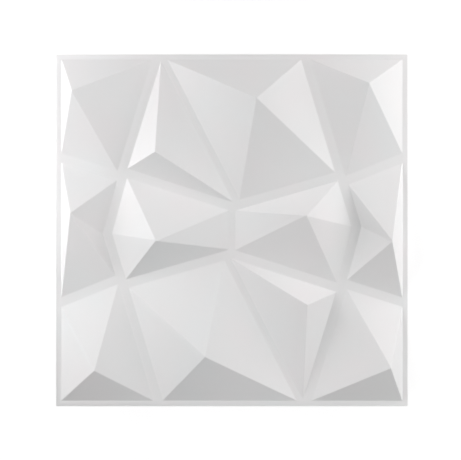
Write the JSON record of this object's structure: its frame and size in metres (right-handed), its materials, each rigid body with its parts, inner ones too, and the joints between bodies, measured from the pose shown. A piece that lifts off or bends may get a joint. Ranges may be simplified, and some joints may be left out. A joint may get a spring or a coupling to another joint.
{
  "type": "3d wall panel tile",
  "caption": "Square white wall panel tile with faceted gem-like pyramids between flat strips, formed from one thin sheet and hollow behind.",
  "frame": {"origin": "centre of the square tile on the plane of its back, which is also the floor that it lies on", "axes": "+Z out of the face, +X to the right of the face and +Y to its top edge, seen face-on as it hangs on a wall"},
  "size_m": [0.5, 0.5, 0.041],
  "materials": {
    "sheet": "white, matt, fine grain, as formed"
  },
  "bodies": {
    "root": {"wall_panel": "sheet"}
  },
  "joints": []
}
